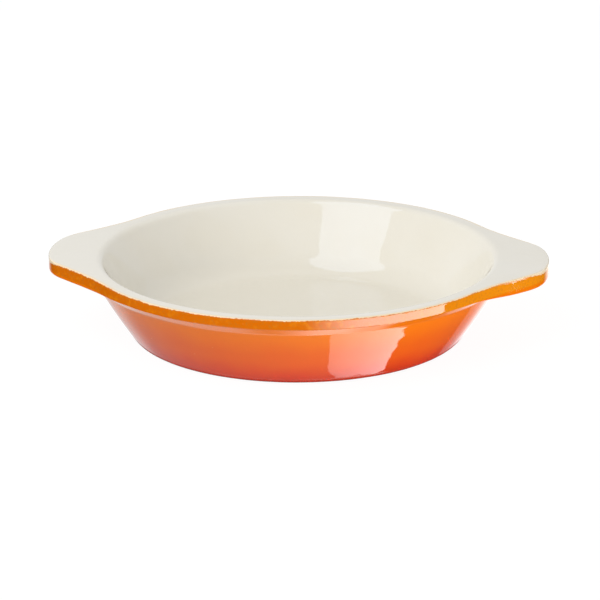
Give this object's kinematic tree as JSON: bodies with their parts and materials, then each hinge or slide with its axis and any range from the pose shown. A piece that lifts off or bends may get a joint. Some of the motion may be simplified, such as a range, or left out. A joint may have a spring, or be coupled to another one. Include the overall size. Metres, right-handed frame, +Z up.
{
  "type": "baking dish",
  "caption": "Round enamelled cast iron baking dish with a flared wall, a flat rim and flat lug handles on opposite sides.",
  "frame": {"origin": "middle of the foot, on the plane the dish stands on (middle of the bounding box's bottom)", "axes": "+X through the middle of one lug, +Z up out of the open mouth, +Y completes the right-handed set"},
  "size_m": [0.2, 0.17, 0.032],
  "materials": {
    "enamelled_iron": "gloss vitreous enamel over grey cast iron: cream inside and on top of the rim and lugs, orange shading to red outside"
  },
  "bodies": {
    "root": {"gratin_dish": "enamelled_iron"}
  },
  "joints": []
}
